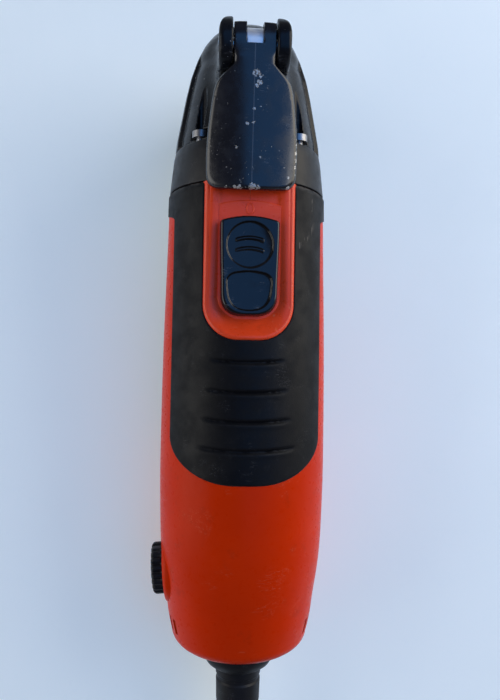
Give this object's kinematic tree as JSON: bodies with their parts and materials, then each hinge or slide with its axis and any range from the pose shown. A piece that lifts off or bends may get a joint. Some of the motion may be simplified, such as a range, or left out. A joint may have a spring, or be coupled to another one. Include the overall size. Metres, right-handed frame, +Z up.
{
  "type": "oscillating multi tool",
  "caption": "Corded oscillating multi tool with a quick-release clamp lever over its gear head, a slide switch, a side speed dial and a soft grip.",
  "frame": {"origin": "centre of the clamp bolt's lower face, on the spindle axis, with the tool resting on that bolt and on the belly of its tail", "axes": "+Z up from the floor that the tool rests on, +Y along the tool towards the gear head, +X to the right of the tool seen from the tail"},
  "size_m": [0.1022, 0.4721, 0.0998],
  "materials": {
    "casing": "moulded orange plastic, fine satin texture",
    "soft_grip": "matt soft-touch rubber",
    "head_paint": "black enamel over cast metal",
    "lever_paint": "semi-gloss black enamel, chipped at the edges",
    "gloss_plastic": "glossy black plastic",
    "black_plastic": "black plastic",
    "steel": "ground steel",
    "dark_steel": "oiled steel",
    "laminations": "laminated electrical steel",
    "copper": "enamelled copper",
    "cord_rubber": "rubber cord sheath",
    "carbon": "pressed carbon",
    "pale_plastic": "heat-resistant plastic",
    "board": "glass-fibre circuit board",
    "capacitor_case": "moulded capacitor case"
  },
  "bodies": {
    "housing": {"upper_casing": "casing", "lower_casing": "casing", "upper_grip": "soft_grip", "lower_grip": "soft_grip", "head_collar": "head_paint", "gear_head": "head_paint", "gear_head_screws": "steel", "casing_screws": "dark_steel", "motor_flange": "dark_steel", "air_baffle": "black_plastic", "front_bearing_outer": "dark_steel", "rear_bearing_outer": "dark_steel", "stator_core": "laminations", "stator_coils": "copper", "brush_holders": "pale_plastic", "carbon_brushes": "carbon", "brush_springs": "steel", "power_switch": "black_plastic", "electronics_board": "board", "suppression_capacitor": "capacitor_case", "upper_bearing_outer": "dark_steel", "lower_bearing_outer": "dark_steel", "neck_seal": "black_plastic", "lever_pin": "steel", "cord_clamp": "black_plastic", "cord_clamp_screws": "steel", "cord_boot": "cord_rubber", "power_cord": "cord_rubber", "cord_coil": "cord_rubber", "plug_body": "black_plastic", "plug_pins": "steel"},
    "rotor": {"rotor_shaft": "steel", "rotor_core": "laminations", "rotor_windings": "copper", "commutator": "copper", "cooling_fan": "black_plastic", "eccentric_bearing": "dark_steel", "counterweight": "dark_steel", "front_bearing_inner": "steel", "rear_bearing_inner": "steel"},
    "spindle": {"spindle": "steel", "swing_fork": "dark_steel", "tool_holder": "dark_steel", "disc_springs": "dark_steel", "upper_bearing_inner": "steel", "lower_bearing_inner": "steel"},
    "clamp_rod": {"clamp_rod": "steel", "clamp_jaws": "dark_steel"},
    "clamp_bolt": {"clamp_bolt": "steel"},
    "lever": {"clamp_lever": "lever_paint", "lever_cam": "steel"},
    "slider": {"slide_switch": "gloss_plastic", "switch_link": "black_plastic"},
    "dial": {"speed_dial": "black_plastic", "dial_shaft": "steel"}
  },
  "joints": [
    {"name": "lever_swing", "type": "hinge", "parent": "housing", "child": "lever", "pos_m": [0, -0.00864, 0.08958], "axis": [-1, 0, 0], "range_deg": [0, 150]},
    {"name": "switch_slide", "type": "slide", "parent": "housing", "child": "slider", "axis": [0, 0.9954, 0.0961], "range_m": [0, 0.0055]},
    {"name": "dial_turn", "type": "hinge", "parent": "housing", "child": "dial", "pos_m": [-0.034, -0.21004, 0.03197], "axis": [-0.9962, -0.0868, -0.0084], "range_deg": [0, 270]},
    {"name": "spindle_swing", "type": "hinge", "parent": "housing", "child": "spindle", "pos_m": [0, -0.00499, 0.05176], "axis": [0, -0.0961, 0.9954], "range_deg": [-1.7, 1.7]},
    {"name": "rotor_spin", "type": "hinge", "parent": "housing", "child": "rotor", "pos_m": [0, -0.09956, 0.04263], "axis": [0, 0.9954, 0.0961], "continuous": true},
    {"name": "rod_slide", "type": "slide", "parent": "spindle", "child": "clamp_rod", "axis": [0, 0.0961, -0.9954], "range_m": [0, 0.0016]},
    {"name": "bolt_pull", "type": "slide", "parent": "spindle", "child": "clamp_bolt", "axis": [0, 0.0961, -0.9954], "range_m": [0, 0.03]}
  ],
  "couplings": [
    {"joint": "rod_slide", "follows": "lever_swing", "m_per_rad": 0.000584}
  ]
}
